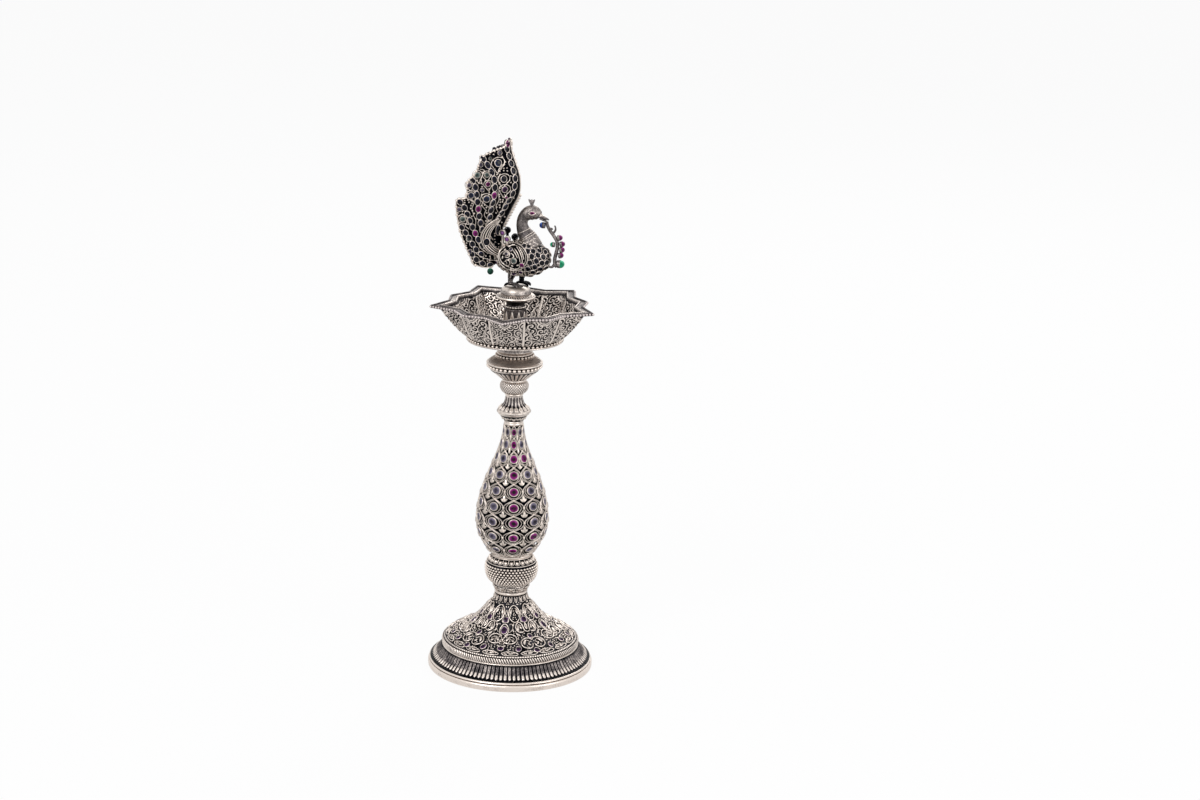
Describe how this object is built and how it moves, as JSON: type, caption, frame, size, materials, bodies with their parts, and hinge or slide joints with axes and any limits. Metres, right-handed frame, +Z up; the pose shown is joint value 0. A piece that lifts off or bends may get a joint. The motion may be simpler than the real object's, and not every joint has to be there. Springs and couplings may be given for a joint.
{
  "type": "standing oil lamp",
  "caption": "Standing oil lamp: a flared round foot, a pierced baluster stem, a star-shaped oil bowl and a lift-off peacock finial.",
  "frame": {"origin": "centre of the foot's flat underside", "axes": "+Z up along the stem, -Y towards the viewer, +X to the right, the way the peacock looks"},
  "size_m": [0.0993, 0.0995, 0.3199],
  "materials": {
    "silver": "oxidised silver, raised parts rubbed bright, recesses dark",
    "steel": "plain turned steel",
    "ruby": "polished magenta stone",
    "sapphire": "polished dark blue stone",
    "emerald": "polished green stone"
  },
  "bodies": {
    "stand": {"foot_ring": "silver", "base_plate": "silver", "fluted_skirt": "silver", "foot_dome": "silver", "rope_band": "silver", "tie_rod": "steel", "rod_washer": "steel", "rod_nut": "steel", "leaf_collar": "silver", "granulated_bulb": "silver", "baluster_lattice": "silver", "baluster_ruby_1": "ruby", "baluster_ruby_2": "ruby", "baluster_ruby_3": "ruby", "baluster_ruby_4": "ruby", "baluster_ruby_5": "ruby", "baluster_ruby_6": "ruby", "baluster_ruby_7": "ruby", "baluster_ruby_8": "ruby", "baluster_ruby_9": "ruby", "baluster_top_collar": "silver", "bell_disc": "silver", "neck_ring": "silver", "hatched_bulb": "silver", "fluted_cup": "silver", "disc_bead_ring": "silver", "bowl_seat": "silver", "seat_bead_ring": "silver"},
    "bowl": {"star_bowl": "silver", "rim_bead_wire": "silver", "bowl_bead_ring": "silver", "centre_post": "silver", "post_bead_ring": "silver"},
    "finial": {"finial_disc": "silver", "finial_dome": "silver", "finial_spigot": "silver", "peacock_body": "silver", "neck_and_head": "silver", "crest": "silver", "right_leg": "silver", "left_leg": "silver", "right_plume": "silver", "left_plume": "silver", "right_wing": "silver", "left_wing": "silver", "right_tail": "silver", "left_tail": "silver", "tail_spine": "silver", "beak_vine": "silver", "vine_berry_1": "ruby", "vine_berry_2": "ruby", "vine_berry_3": "ruby", "vine_berry_4": "ruby", "vine_emerald": "emerald", "vine_blue_bead": "sapphire", "breast_green_bead": "emerald", "tail_drop_bead": "emerald", "right_eye_ruby": "ruby", "left_eye_ruby": "ruby", "tail_tip_ruby": "ruby"}
  },
  "joints": [
    {"name": "bowl_lift", "type": "slide", "parent": "stand", "child": "bowl", "axis": [0, 0, 1], "range_m": [0, 0.03]},
    {"name": "finial_lift", "type": "slide", "parent": "bowl", "child": "finial", "axis": [0, 0, 1], "range_m": [0, 0.04]}
  ]
}
